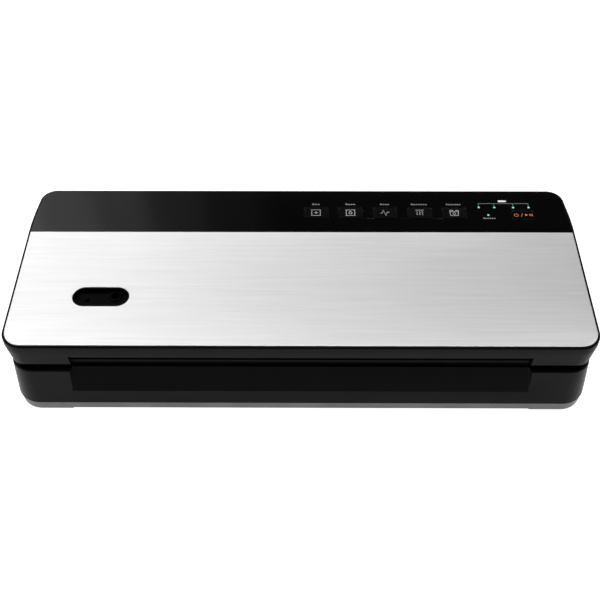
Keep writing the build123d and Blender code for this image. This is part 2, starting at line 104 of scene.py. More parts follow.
floor_mesh = bpy.data.meshes.new("floor")
floor_mesh.from_pydata([(x * FLOOR_HALF, y * FLOOR_HALF, 0) for x, y in ((-1, -1), (1, -1), (1, 1), (-1, 1))],
                       [], [(0, 1, 2, 3)])
floor = bpy.data.objects.new("floor", floor_mesh)
bpy.context.collection.objects.link(floor)
floor_paint = bpy.data.materials.new("floor_paint")
floor_paint.use_nodes = True
floor_shader = floor_paint.node_tree.nodes["Principled BSDF"]
floor_shader.inputs["Base Color"].default_value = (0.5, 0.5, 0.5, 1)
floor_shader.inputs["Roughness"].default_value = 0.9
floor_shader.inputs["Specular IOR Level"].default_value = 0.1
floor_shader.inputs["Emission Color"].default_value = (1, 1, 1, 1)
floor_shader.inputs["Emission Strength"].default_value = FLOOR_GLOW
floor_mesh.materials.append(floor_paint)

for lamp_name, (place, aim, (width, height), power) in LAMPS.items():
    lamp = bpy.data.objects.new(lamp_name, bpy.data.lights.new(lamp_name, "AREA"))
    lamp.data.shape = "RECTANGLE"
    lamp.data.size = width
    lamp.data.size_y = height
    lamp.data.energy = power
    lamp.location = place
    lamp.rotation_euler = (Vector(aim) - Vector(place)).to_track_quat("-Z", "Y").to_euler()
    bpy.context.collection.objects.link(lamp)


# ---------------------------------------------------------------- base housing
# The lower case: black ABS from a spark-eroded mould, one piece with the deck, the hinge lugs and the screw
# posts. Its edges are broken by a small radius, as every moulded edge is.
def finish(name, colour, roughness, specular=0.5, metallic=0.0):
    material = bpy.data.materials.new(name)
    material.use_nodes = True
    shader = material.node_tree.nodes["Principled BSDF"]
    shader.inputs["Base Color"].default_value = (*colour, 1)
    shader.inputs["Roughness"].default_value = roughness
    shader.inputs["Specular IOR Level"].default_value = specular
    shader.inputs["Metallic"].default_value = metallic
    return material, material.node_tree, shader


def add_grain(tree, shader, scale, depth, spread=0.0, stretch=(1, 1, 1)):
    """A bump from noise, and a little of it in the roughness."""
    place = tree.nodes.new("ShaderNodeTexCoord")
    turn = tree.nodes.new("ShaderNodeMapping")
    turn.inputs["Scale"].default_value = stretch
    noise = tree.nodes.new("ShaderNodeTexNoise")
    noise.inputs["Scale"].default_value = scale
    noise.inputs["Detail"].default_value = 3
    bump = tree.nodes.new("ShaderNodeBump")
    bump.inputs["Distance"].default_value = depth
    tree.links.new(place.outputs["Object"], turn.inputs["Vector"])
    tree.links.new(turn.outputs["Vector"], noise.inputs["Vector"])
    tree.links.new(noise.outputs["Fac"], bump.inputs["Height"])
    tree.links.new(bump.outputs["Normal"], shader.inputs["Normal"])
    if spread:
        spread_map = tree.nodes.new("ShaderNodeMapRange")
        middle = shader.inputs["Roughness"].default_value
        spread_map.inputs["To Min"].default_value = middle - spread
        spread_map.inputs["To Max"].default_value = middle + spread
        tree.links.new(noise.outputs["Fac"], spread_map.inputs["Value"])
        tree.links.new(spread_map.outputs["Result"], shader.inputs["Roughness"])
    return noise


def tint(tree, shader, dark, light, scale, stretch=(1, 1, 1), detail=4):
    """A slow change of colour over the piece."""
    place = tree.nodes.new("ShaderNodeTexCoord")
    turn = tree.nodes.new("ShaderNodeMapping")
    turn.inputs["Scale"].default_value = stretch
    noise = tree.nodes.new("ShaderNodeTexNoise")
    noise.inputs["Scale"].default_value = scale
    noise.inputs["Detail"].default_value = detail
    ramp = tree.nodes.new("ShaderNodeValToRGB")
    ramp.color_ramp.elements[0].position, ramp.color_ramp.elements[1].position = 0.35, 0.65
    ramp.color_ramp.elements[0].color = (*dark, 1)
    ramp.color_ramp.elements[1].color = (*light, 1)
    tree.links.new(place.outputs["Object"], turn.inputs["Vector"])
    tree.links.new(turn.outputs["Vector"], noise.inputs["Vector"])
    tree.links.new(noise.outputs["Fac"], ramp.inputs["Fac"])
    tree.links.new(ramp.outputs["Color"], shader.inputs["Base Color"])


def grained(name, colour, roughness, specular, scale=2600, depth=0.00003, spread=0.05, metallic=0.0,
            change=0.12):
    """A finish with a fine grain, and a slight change of tone over some centimetres."""
    material, tree, shader = finish(name, colour, roughness, specular, metallic)
    add_grain(tree, shader, scale, depth, spread)
    tint(tree, shader, [part * (1 - change) for part in colour], [part * (1 + change) for part in colour], 45)
    return material


body_of = {name: body for body, names in frame["record"]["behaviour"]["bodies"].items() for name in names}
COPLANAR = radians(0.4)  # faces that turn less than this are one face
FOLD = radians(3)  # a turn between two broad faces that shows as a line
BROAD = 200 * MM * MM
CORNER = radians(30)  # a turn that gets a rounded edge
CREASE = radians(50)  # a turn that isn't shaded smooth
SLIVER = 0.06 * MM  # a face narrower than this gets no rounded edge


def show(mesh, name, material, *stands_for):
    """Puts a finished mesh in the scene, with the given material, on the body of the first node it stands for.
    """
    piece = bpy.data.objects.new(name, mesh)
    bpy.context.collection.objects.link(piece)
    mesh.materials.clear()
    mesh.materials.append(material)
    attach(piece, body_of[stands_for[0]])
    return piece


def breadth(face):
    """How wide a face is across its longest edge."""
    return face.calc_area() / max(side.calc_length() for side in face.edges)


def rounded_copy(node_name, edge):
    """A closed copy of a node with its flat faces joined up and its corners rounded, edge in millimetres."""
    form = bmesh.new()
    form.from_mesh(nodes[node_name].data)
    bmesh.ops.remove_doubles(form, verts=form.verts, dist=2e-6)
    bmesh.ops.dissolve_limit(form, angle_limit=COPLANAR, verts=form.verts, edges=form.edges)
    folds = form.edges.layers.int.new("fold")
    corners = [e for e in form.edges if len(e.link_faces) == 2 and e.calc_face_angle(0) > CORNER
               and min(breadth(face) for face in e.link_faces) > SLIVER]
    for bend in form.edges:
        if FOLD < bend.calc_face_angle(0) < CORNER and min(f.calc_area() for f in bend.link_faces) > BROAD:
            bend[folds] = 1
    if edge:
        bmesh.ops.bevel(form, geom=corners, offset=edge * MM, offset_type="OFFSET", segments=3, profile=0.5,
                        affect="EDGES", clamp_overlap=False, loop_slide=True)
    for face in form.faces:
        face.smooth = True
    for bend in form.edges:
        bend.smooth = len(bend.link_faces) == 2 and bend.calc_face_angle(0) < CREASE and not bend[folds]
    form.edges.layers.int.remove(folds)
    bmesh.ops.triangulate(form, faces=[face for face in form.faces if len(face.verts) > 4])
    mesh = bpy.data.meshes.new(node_name + "_finished")
    form.to_mesh(mesh)
    form.free()
    return even_shading(mesh)


def even_shading(mesh):
    """Lets each large face set the shading of the small ones round its edge."""
    holder = bpy.data.objects.new("holder", mesh)
    bpy.context.collection.objects.link(holder)
    weight = holder.modifiers.new("weight", "WEIGHTED_NORMAL")
    weight.keep_sharp = True
    done = bpy.data.meshes.new_from_object(holder.evaluated_get(bpy.context.evaluated_depsgraph_get()))
    bpy.data.objects.remove(holder)
    done.name = mesh.name
    return done


def moulded(node_name, edge, material):
    piece = show(rounded_copy(node_name, edge), node_name + "_finished", material, node_name)
    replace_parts(piece, node_name)
    return piece


black_abs = grained("black_plastic", (0.0050, 0.0050, 0.0053), 0.34, 0.07)
# a darker, less glossy copy of the black plastic: painted shade for the bag's mouth, which lies in shadow under
# the lid
painted_shade_abs = grained("black_plastic_painted_shade", (0.0022, 0.0022, 0.0024), 0.30, 0.03)
inner_abs = grained("black_plastic_inside", (0.0070, 0.0070, 0.0074), 0.5, 0.12)


def paint_mouth_shade(piece, least_slope):
    """Paints shade on the faces round the bag's mouth, with a darker, less glossy copy of the black plastic."""
    piece.data.materials.append(painted_shade_abs)
    for face in piece.data.polygons:
        if face.normal.y < -0.9 and face.normal.z > least_slope and face.center.y < -65 * MM:
            face.material_index = 1


# the sloped faces of the base's mouth get the painted shade
paint_mouth_shade(moulded("base_shell", 0.35, black_abs), 0.2)

# ---------------------------------------------------------------- trough and drip tray
# The tub under the deck is the same black ABS, heat-staked in. The lift-out tray in it is a dark grey
# polypropylene dish with a finger tab.
tray_plastic = grained("tray_plastic", (0.055, 0.055, 0.058), 0.38, 0.4)
moulded("trough_tub", 0.4, black_abs)
moulded("drip_tray", 0.45, tray_plastic)

# ---------------------------------------------------------------- bottom cover
# A satin grey ABS tray that closes the case from below and shows as a grey band all round, with vent slots.
grey_abs = grained("grey_plastic", (0.15, 0.15, 0.15), 0.42, 0.2)
moulded("bottom_cover", 0.25, grey_abs)

# ---------------------------------------------------------------- rubber feet
# Four soft rubber pads pressed into round seats under the cover. Each has three raised rings that grip the
# worktop.
FOOT_R = 7.0
FOOT_RINGS = (1.7, 3.7, 5.7)


def recipe(name, sizes):
    """An empty Geometry Nodes tree that takes a mesh and named sizes."""
    tree = bpy.data.node_groups.new(name, "GeometryNodeTree")
    tree.interface.new_socket("Geometry", in_out="INPUT", socket_type="NodeSocketGeometry")
    for size in sizes:
        tree.interface.new_socket(size, in_out="INPUT", socket_type="NodeSocketFloat")
    tree.interface.new_socket("Geometry", in_out="OUTPUT", socket_type="NodeSocketGeometry")
    return tree, tree.nodes.new("NodeGroupInput"), tree.nodes.new("NodeGroupOutput")


def put(tree, kind, settings=None, **sources):
    """Adds a node. A source is the socket that feeds an input, or the input's value."""
    node = tree.nodes.new(kind)
    for name, value in (settings or {}).items():
        setattr(node, name, value)
    for name, source in sources.items():
        feed(tree, node, name.replace("_", " "), source)
    return node


def feed(tree, node, name, source):
    """Links a socket to one input, by its name, or sets its value."""
    socket = next(s for s in node.inputs if name in (s.name, s.identifier) and s.enabled)
    if isinstance(source, bpy.types.NodeSocket):
        tree.links.new(source, socket)
    else:
        socket.default_value = source


def joined(tree, *sources):
    join = tree.nodes.new("GeometryNodeJoinGeometry")
    for source in sources:
        tree.links.new(source, join.inputs["Geometry"])
    return join.outputs["Geometry"]


def moved(tree, source, place=(0, 0, 0), turn=(0, 0, 0)):
    return put(tree, "GeometryNodeTransform", Geometry=source, Translation=place, Rotation=turn).outputs[0]


def along_z(tree, source, distance):
    """Moves a shape up by a size that is an input of the tree."""
    lift = put(tree, "ShaderNodeCombineXYZ", Z=distance).outputs[0]
    return put(tree, "GeometryNodeTransform", Geometry=source, Translation=lift).outputs[0]


def product(tree, a, b):
    node = tree.nodes.new("ShaderNodeMath")
    node.operation = "MULTIPLY"
    for socket, source in zip(node.inputs, (a, b)):
        if isinstance(source, bpy.types.NodeSocket):
            tree.links.new(source, socket)
        else:
            socket.default_value = source
    return node.outputs[0]


def finish_tree(tree, outlet, source, material):
    real = put(tree, "GeometryNodeRealizeInstances", Geometry=source)
    painted = put(tree, "GeometryNodeSetMaterial", Geometry=real.outputs[0], Material=material)
    tree.links.new(painted.outputs[0], outlet.inputs[0])


def grow(name, start, tree, sizes):
    """Runs a tree on a start mesh, or on a list of places in millimetres, and returns the plain mesh."""
    if not isinstance(start, bpy.types.Mesh):
        places = bpy.data.meshes.new(name + "_places")
        places.from_pydata([Vector(place) * MM for place in start], [], [])
        start = places
    holder = bpy.data.objects.new(name + "_holder", start)
    bpy.context.collection.objects.link(holder)
    step = holder.modifiers.new("grow", "NODES")
    step.node_group = tree
    for socket in tree.interface.items_tree:
        if socket.in_out == "INPUT" and socket.name in sizes:
            step[socket.identifier] = sizes[socket.name] * MM
    mesh = bpy.data.meshes.new_from_object(holder.evaluated_get(bpy.context.evaluated_depsgraph_get()))
    bpy.data.objects.remove(holder)
    mesh.name = name
    return mesh


def shade(mesh):
    """Smooth shading with creases at the sharp edges."""
    form = bmesh.new()
    form.from_mesh(mesh)
    for face in form.faces:
        face.smooth = True
    for bend in form.edges:
        bend.smooth = len(bend.link_faces) == 2 and bend.calc_face_angle(0) < CREASE
    form.to_mesh(mesh)
    form.free()
    return mesh


rubber = grained("rubber", (0.012, 0.012, 0.012), 0.7, 0.2, 1400, 0.00006)
foot_tree, foot_in, foot_out = recipe("foot", ["Radius", "Height", "Ring"])
foot_body = put(foot_tree, "GeometryNodeMeshCylinder", Vertices=48, Side_Segments=1,
                Radius=foot_in.outputs["Radius"], Depth=foot_in.outputs["Height"])
foot_parts = [along_z(foot_tree, foot_body.outputs["Mesh"],
                      product(foot_tree, foot_in.outputs["Height"], 0.5))]
ring_wire = put(foot_tree, "GeometryNodeCurvePrimitiveCircle", Resolution=10,
                Radius=foot_in.outputs["Ring"])
for ring_r in FOOT_RINGS:
    ring_path = put(foot_tree, "GeometryNodeCurvePrimitiveCircle", Resolution=48, Radius=ring_r * MM)
    foot_parts.append(put(foot_tree, "GeometryNodeCurveToMesh", Curve=ring_path.outputs["Curve"],
                          Profile_Curve=ring_wire.outputs["Curve"]).outputs["Mesh"])
foot_copies = put(foot_tree, "GeometryNodeInstanceOnPoints", Points=foot_in.outputs["Geometry"],
                  Instance=joined(foot_tree, *foot_parts))
finish_tree(foot_tree, foot_out, foot_copies.outputs["Instances"], rubber)
foot_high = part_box("rubber_feet")[1]
FOOT_PLACES = [(side_x * (foot_high[0] / MM - FOOT_R), side_y * (foot_high[1] / MM - FOOT_R), 0.5)
               for side_x in (-1, 1) for side_y in (-1, 1)]
feet = show(shade(grow("rubber_feet_finished", FOOT_PLACES, foot_tree,
                       {"Radius": FOOT_R - 0.05, "Height": 1.88, "Ring": 0.5})),
            "rubber_feet_finished", rubber, "rubber_feet")
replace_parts(feet, "rubber_feet")

# ---------------------------------------------------------------- screws
# Zinc-plated pan-head screws with a cross recess. Six hold the cover to the base from below and six hold
# the liner in the lid, all heads down.
screw_steel = grained("screw_steel", (0.42, 0.42, 0.43), 0.3, 0.5, 1500, 0.00002, metallic=1.0)


def screw_tree():
    tree, inlet, outlet = recipe("screw", ["Head Radius", "Head Height", "Shank Radius", "Length", "Slot",
                                           "Pitch"])
    size = inlet.outputs
    rim = along_z(tree, put(tree, "GeometryNodeMeshCylinder", Vertices=32, Radius=size["Head Radius"],
                            Depth=product(tree, size["Head Height"], 0.55)).outputs["Mesh"],
                  product(tree, size["Head Height"], 0.725))
    dome = put(tree, "GeometryNodeMeshCone", Vertices=32, Radius_Top=size["Head Radius"],
               Radius_Bottom=product(tree, size["Head Radius"], 0.72),
               Depth=product(tree, size["Head Height"], 0.46)).outputs["Mesh"]
    head = put(tree, "GeometryNodeMeshBoolean", {"operation": "UNION"},
               Mesh_2=joined(tree, rim, dome)).outputs["Mesh"]
    bars = []
    for turn in (0, pi / 2):
        extent = put(tree, "ShaderNodeCombineXYZ", X=product(tree, size["Head Radius"], 1.15), Y=size["Slot"],
                     Z=product(tree, size["Head Height"], 1.3)).outputs[0]
        bar = put(tree, "GeometryNodeMeshCube", Size=extent).outputs["Mesh"]
        bars.append(moved(tree, bar, turn=(0, 0, turn)))
    cut = put(tree, "GeometryNodeMeshBoolean", {"operation": "DIFFERENCE"}, Mesh_1=head,
              Mesh_2=joined(tree, *bars)).outputs["Mesh"]
    shank = along_z(tree, put(tree, "GeometryNodeMeshCylinder", Vertices=16, Radius=size["Shank Radius"],
                              Depth=size["Length"]).outputs["Mesh"], product(tree, size["Length"], 0.56))
    thread_line = put(tree, "GeometryNodeCurveSpiral", Resolution=14, Rotations=8.0,
                      Start_Radius=size["Shank Radius"], End_Radius=size["Shank Radius"],
                      Height=product(tree, size["Length"], 0.75)).outputs["Curve"]
    thread_wire = put(tree, "GeometryNodeCurvePrimitiveCircle", Resolution=6, Radius=size["Pitch"])
    thread = put(tree, "GeometryNodeCurveToMesh", Curve=thread_line,
                 Profile_Curve=thread_wire.outputs["Curve"], Fill_Caps=True).outputs["Mesh"]
    thread = along_z(tree, thread, product(tree, size["Length"], 0.25))
    screws = put(tree, "GeometryNodeInstanceOnPoints", Points=size["Geometry"],
                 Instance=joined(tree, cut, shank, thread))
    finish_tree(tree, outlet, screws.outputs["Instances"], screw_steel)
    return tree


SCREW_SIZES = {"Head Radius": 2.9, "Head Height": 1.8, "Shank Radius": 1.15, "Slot": 0.75, "Pitch": 0.26}
COVER_SCREWS = [(-140, -55), (140, -55), (-112, 63), (112, 63), (0, -55), (34, 63)]
LID_SCREWS = [(-182, -52), (182, -52), (-182, 60), (182, 60), (-60, 22), (60, 22)]
screws_tree = screw_tree()
for screw_node, spots, screw_length in (("bottom_screws", COVER_SCREWS, 12.0),
                                        ("lid_screws", LID_SCREWS, 11.0)):
    screw_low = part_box(screw_node)[0][2] / MM
    screw_mesh = grow(screw_node + "_finished", [(x, y, screw_low) for x, y in spots], screws_tree,
                      {**SCREW_SIZES, "Length": screw_length})
    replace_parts(show(shade(screw_mesh), screw_node + "_finished", screw_steel, screw_node), screw_node)

# ---------------------------------------------------------------- sealing bar
# A silicone bed across the front of the deck carries a thin nickel-chrome strip under a slick woven glass
# tape. A sprung clamp at each end feeds the strip and keeps it tight.
silicone = grained("silicone", (0.33, 0.31, 0.28), 0.5, 0.35, 1500, 0.00003)
heater_metal = grained("heater_metal", (0.55, 0.5, 0.42), 0.3, 0.5, 900, 0.00002, metallic=1.0)
bracket_steel = grained("bracket_steel", (0.55, 0.55, 0.56), 0.35, 0.5, 700, 0.00002, metallic=1.0)
tape, tape_tree, tape_shader = finish("ptfe_tape", (0.27, 0.17, 0.09), 0.36, 0.4)
tape_place = tape_tree.nodes.new("ShaderNodeTexCoord")
tape_heights = []
for band_axis in ("X", "Y"):
    threads = tape_tree.nodes.new("ShaderNodeTexWave")
    threads.bands_direction = band_axis
    threads.inputs["Scale"].default_value = 320
    tape_tree.links.new(tape_place.outputs["Object"], threads.inputs["Vector"])
    tape_heights.append(threads.outputs["Fac"])
tape_weave = product(tape_tree, *tape_heights)
tape_bump = tape_tree.nodes.new("ShaderNodeBump")
tape_bump.inputs["Distance"].default_value = 0.00008
tape_tree.links.new(tape_weave, tape_bump.inputs["Height"])
tape_tree.links.new(tape_bump.outputs["Normal"], tape_shader.inputs["Normal"])
tint(tape_tree, tape_shader, (0.22, 0.135, 0.07), (0.31, 0.20, 0.11), 60, (1, 6, 1))
moulded("seal_bar", 0.4, silicone)
moulded("heater_strip", 0.06, heater_metal)
moulded("heater_tape", 0.05, tape)
moulded("heater_clamps", 0.3, bracket_steel)

# ---------------------------------------------------------------- gaskets
# Two rings of closed-cell foam, one in the deck and one in the lid, that close the chamber round the trough.
# Their faces are slightly crowned and open-pored.
foam, foam_tree, foam_shader = finish("gasket_foam", (0.02, 0.02, 0.021), 0.85, 0.15)
foam_cells = foam_tree.nodes.new("ShaderNodeTexVoronoi")
foam_cells.inputs["Scale"].default_value = 1500
foam_place = foam_tree.nodes.new("ShaderNodeTexCoord")
foam_bump = foam_tree.nodes.new("ShaderNodeBump")
foam_bump.inputs["Distance"].default_value = 0.00025
foam_tree.links.new(foam_place.outputs["Object"], foam_cells.inputs["Vector"])
foam_tree.links.new(foam_cells.outputs["Distance"], foam_bump.inputs["Height"])
foam_tree.links.new(foam_bump.outputs["Normal"], foam_shader.inputs["Normal"])
tint(foam_tree, foam_shader, (0.014, 0.014, 0.015), (0.027, 0.027, 0.028), 260)
moulded("lower_gasket", 1.3, foam)
moulded("upper_gasket", 1.3, foam)

# ---------------------------------------------------------------- suction grille
# The cap over the air inlet: black ABS, pressed into the trough's back wall, with a ring of seven holes that
# keep crumbs out of the hose.
grille_low, grille_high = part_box("suction_grille")
GRILLE_X, GRILLE_Z = [(grille_low[i] + grille_high[i]) / 2 / MM for i in (0, 2)]
GRILLE_FRONT = grille_low[1] / MM
grille_tree, grille_in, grille_out = recipe("grille", ["Cap Radius", "Cap Depth", "Hole Radius", "Hole Ring",
                                                       "Stem Radius", "Stem Bore", "Stem Length"])
grille_size = grille_in.outputs
cap = put(grille_tree, "GeometryNodeMeshCylinder", Vertices=48, Radius=grille_size["Cap Radius"],
          Depth=grille_size["Cap Depth"]).outputs["Mesh"]
cap = along_z(grille_tree, cap, product(grille_tree, grille_size["Cap Depth"], -0.5))
stem = put(grille_tree, "GeometryNodeMeshCylinder", Vertices=32, Radius=grille_size["Stem Radius"],
           Depth=grille_size["Stem Length"]).outputs["Mesh"]
bore = put(grille_tree, "GeometryNodeMeshCylinder", Vertices=32, Radius=grille_size["Stem Bore"],
           Depth=product(grille_tree, grille_size["Stem Length"], 1.2)).outputs["Mesh"]
stem = put(grille_tree, "GeometryNodeMeshBoolean", {"operation": "DIFFERENCE"}, Mesh_1=stem, Mesh_2=bore)
stem = along_z(grille_tree, stem.outputs["Mesh"], product(grille_tree, grille_size["Stem Length"], -0.5))
stem = along_z(grille_tree, stem, product(grille_tree, grille_size["Cap Depth"], -0.9))
hole_ring = put(grille_tree, "GeometryNodeMeshCircle", Vertices=6,
                Radius=grille_size["Hole Ring"]).outputs["Mesh"]
hole_mid = put(grille_tree, "GeometryNodeMeshLine", Count=1).outputs["Mesh"]
hole = put(grille_tree, "GeometryNodeMeshCylinder", Vertices=20, Radius=grille_size["Hole Radius"],
           Depth=product(grille_tree, grille_size["Cap Depth"], 4)).outputs["Mesh"]
holes = put(grille_tree, "GeometryNodeInstanceOnPoints", Points=joined(grille_tree, hole_ring, hole_mid),
            Instance=hole)
holes = put(grille_tree, "GeometryNodeRealizeInstances", Geometry=holes.outputs["Instances"]).outputs[0]
cap = put(grille_tree, "GeometryNodeMeshBoolean", {"operation": "DIFFERENCE"}, Mesh_1=cap, Mesh_2=holes)
grille_whole = moved(grille_tree, joined(grille_tree, cap.outputs["Mesh"], stem), turn=(pi / 2, 0, 0))
grille_copies = put(grille_tree, "GeometryNodeInstanceOnPoints", Points=grille_size["Geometry"],
                    Instance=grille_whole)
finish_tree(grille_tree, grille_out, grille_copies.outputs["Instances"], black_abs)
grille_mesh = grow("suction_grille_finished", [(GRILLE_X, GRILLE_FRONT, GRILLE_Z)], grille_tree,
                   {"Cap Radius": 3.6, "Cap Depth": 1.2, "Hole Radius": 0.6, "Hole Ring": 2.0,
                    "Stem Radius": 2.1, "Stem Bore": 1.3, "Stem Length": 7.0})
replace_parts(show(shade(grille_mesh), "suction_grille_finished", black_abs, "suction_grille"),
            "suction_grille")

# ---------------------------------------------------------------- hinge pins, cord bush and latches
# Two turned steel pins carry the lid. A rubber bush guards the cord's hole at the back. Under each end of the
# deck a dark acetal slider hooks the lid's catch, and a round-ended button in the side wall draws it back.
spring_steel = grained("spring_steel", (0.5, 0.5, 0.5), 0.25, 0.5, 1500, 0.00001, metallic=1.0)
key_plastic = grained("key_plastic", (0.0014, 0.0013, 0.0014), 0.24, 0.06, 3000, 0.00001, 0.04)
moulded("hinge_pins", 0.25, screw_steel)
moulded("cord_gland", 0.6, rubber)
for side_name, side_sign in (("left", -1), ("right", 1)):
    spring = moulded(side_name + "_release_spring", 0, spring_steel)
    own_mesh(spring)

GRIP_COUNT = 5
GRIP_PITCH = 2.6
GROOVE_INSET = 0.2
grip_tree, grip_in, grip_out = recipe("button grip", ["Groove Radius", "Groove Length", "Pitch", "Face",
                                                      "Along", "Height"])
grip_size = grip_in.outputs
groove = put(grip_tree, "GeometryNodeMeshCylinder", Vertices=16, Radius=grip_size["Groove Radius"],
             Depth=grip_size["Groove Length"]).outputs["Mesh"]
grip_step = put(grip_tree, "ShaderNodeCombineXYZ", Y=grip_size["Pitch"]).outputs[0]
grip_start = put(grip_tree, "ShaderNodeCombineXYZ", X=grip_size["Face"], Z=grip_size["Height"],
                 Y=grip_size["Along"]).outputs[0]
grip_row = put(grip_tree, "GeometryNodeMeshLine", Count=GRIP_COUNT, Offset=grip_step,
               Start_Location=grip_start)
grooves = put(grip_tree, "GeometryNodeInstanceOnPoints", Points=grip_row.outputs["Mesh"], Instance=groove)
grooves = put(grip_tree, "GeometryNodeRealizeInstances", Geometry=grooves.outputs["Instances"]).outputs[0]
grip_cut = put(grip_tree, "GeometryNodeMeshBoolean", {"operation": "DIFFERENCE"},
               Mesh_1=grip_size["Geometry"], Mesh_2=grooves)
finish_tree(grip_tree, grip_out, grip_cut.outputs["Mesh"], key_plastic)
for side_name, side_sign in (("left", -1), ("right", 1)):
    button_name = side_name + "_release_button"
    button_low, button_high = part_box(button_name)
    button_face = (button_high[0] if side_sign > 0 else button_low[0]) / MM
    button_mid = [(button_low[i] + button_high[i]) / 2 / MM for i in range(3)]
    button_mesh = grow(button_name + "_finished", rounded_copy(button_name, 0.2), grip_tree,
                       {"Groove Radius": 0.7, "Groove Length": 5.6, "Pitch": GRIP_PITCH,
                        "Face": button_face + side_sign * GROOVE_INSET,
                        "Along": button_mid[1] - GRIP_PITCH * (GRIP_COUNT - 1) / 2, "Height": button_mid[2]})
    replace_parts(show(shade(button_mesh), button_name + "_finished", key_plastic, button_name), button_name)
    moulded(side_name + "_latch_hook", 0.35, tray_plastic)

# ---------------------------------------------------------------- power board and transformer
# The mains board stands on four posts. The transformer beside it has a core of stacked steel laminations
# round a taped winding, on a solid foot.
circuit_board = grained("circuit_board", (0.012, 0.13, 0.05), 0.35, 0.5, 900, 0.00002)
components = grained("components", (0.04, 0.04, 0.045), 0.45, 0.4)
transformer_core = grained("transformer_core", (0.2, 0.2, 0.21), 0.4, 0.5, 900, 0.00005, metallic=0.8)
moulded("power_board", 0.15, circuit_board)
moulded("board_parts", 0.5, components)

LAMINATIONS = 24
core_low, core_high = [[part / MM for part in corner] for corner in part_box("transformer")]
CORE_FRONT, CORE_BACK, CORE_TOP, CORE_FOOT = 14.0, 54.0, 37.0, 13.0
SHEET_THICKNESS = 1.35
FOOT_STEP = 6.0
stack_tree, stack_in, stack_out = recipe("laminations", ["Sheet", "Pitch", "Depth", "Height", "Foot Width",
                                                         "Foot Height", "Winding Width", "Winding Depth",
                                                         "Winding Height"])
stack_size = stack_in.outputs
sheet_extent = put(stack_tree, "ShaderNodeCombineXYZ", X=stack_size["Sheet"], Y=stack_size["Depth"],
                   Z=stack_size["Height"]).outputs[0]
sheet_form = put(stack_tree, "GeometryNodeMeshCube", Size=sheet_extent).outputs["Mesh"]
sheet_step = put(stack_tree, "ShaderNodeCombineXYZ", X=stack_size["Pitch"]).outputs[0]
sheet_start = put(stack_tree, "ShaderNodeCombineXYZ",
                  X=product(stack_tree, stack_size["Pitch"], -(LAMINATIONS - 1) / 2)).outputs[0]
sheet_row = put(stack_tree, "GeometryNodeMeshLine", Count=LAMINATIONS, Offset=sheet_step,
                Start_Location=sheet_start)
sheets = put(stack_tree, "GeometryNodeInstanceOnPoints", Points=sheet_row.outputs["Mesh"],
             Instance=sheet_form)
winding_extent = put(stack_tree, "ShaderNodeCombineXYZ", X=stack_size["Winding Width"],
                     Y=stack_size["Winding Depth"], Z=stack_size["Winding Height"]).outputs[0]
winding = put(stack_tree, "GeometryNodeMeshCube", Size=winding_extent).outputs["Mesh"]
foot_extent = put(stack_tree, "ShaderNodeCombineXYZ", X=stack_size["Foot Width"], Y=stack_size["Depth"],
                  Z=stack_size["Foot Height"]).outputs[0]
core_foot = put(stack_tree, "GeometryNodeMeshCube", Size=foot_extent).outputs["Mesh"]
core_foot = along_z(stack_tree, core_foot, product(stack_tree, stack_size["Height"], -0.5))
core_foot = along_z(stack_tree, core_foot, product(stack_tree, stack_size["Foot Height"], -0.5))
stacks = put(stack_tree, "GeometryNodeInstanceOnPoints", Points=stack_size["Geometry"],
             Instance=joined(stack_tree, sheets.outputs["Instances"], winding, core_foot))
finish_tree(stack_tree, stack_out, stacks.outputs["Instances"], transformer_core)
core_middle = ((core_low[0] + core_high[0]) / 2, (CORE_FRONT + CORE_BACK) / 2, (CORE_FOOT + CORE_TOP) / 2)
core_mesh = grow("transformer_finished", [core_middle], stack_tree,
                 {"Sheet": SHEET_THICKNESS,
                  "Pitch": (core_high[0] - core_low[0] - SHEET_THICKNESS) / (LAMINATIONS - 1),
                  "Depth": CORE_BACK - CORE_FRONT, "Height": CORE_TOP - CORE_FOOT,
                  "Foot Width": core_high[0] - core_low[0] - 2 * FOOT_STEP,
                  "Foot Height": CORE_FOOT - core_low[2],
                  "Winding Width": 30.0, "Winding Depth": core_high[1] - core_low[1], "Winding Height": 20.0})
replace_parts(show(shade(core_mesh), "transformer_finished", transformer_core, "transformer"), "transformer")

# ---------------------------------------------------------------- vacuum pump
# A plated can motor in a rubber saddle turns a crank disc, which works two diaphragm heads through a rod. A
# clear hose leads to the grille, and a solenoid valve lets the air back in.
motor_can = grained("motor_can", (0.5, 0.5, 0.51), 0.3, 0.5, 700, 0.00002, metallic=1.0)
PUMP_PIECES = [("pump_motor", 0.8, motor_can), ("motor_cradle", 0.4, rubber), ("motor_shaft", 0.15, screw_steel),
               ("crank_disc", 0.3, tray_plastic), ("pump_yoke", 0.4, tray_plastic),
               ("pump_heads", 0.9, tray_plastic), ("pump_frame", 0.3, bracket_steel),
               ("vacuum_hose", 0.2, silicone), ("release_valve", 0.4, motor_can)]
for pump_node, pump_edge, pump_finish in PUMP_PIECES:
    moulded(pump_node, pump_edge, pump_finish)

# ---------------------------------------------------------------- lid housing and liner
# The lid is a black ABS shell with a satin grain and a radiused rim, in a darker, less glossy copy of the base's
# black that paints shade on its front. A liner with the air chamber closes it from below, and carries a silicone
# strip that presses the bag on the heater.
# a darker copy of the black plastic: painted shade for the lid's front
shaded_lid_abs = grained("black_plastic_lid_shaded", (0.0032, 0.0032, 0.0034), 0.34, 0.03)
moulded("lid_shell", 0.2, shaded_lid_abs)
# the liner's front wall behind the lid's notch gets the painted shade too
paint_mouth_shade(moulded("lid_liner", 0.1, inner_abs), -0.2)
moulded("press_strip_holder", 0.4, inner_abs)
moulded("press_strip", 0.25, silicone)
moulded("lid_catches", 0.35, black_abs)
moulded("control_board", 0.15, circuit_board)
moulded("tact_switches", 0.2, components)
nodes["port_seal"].material_slots[0].material = rubber

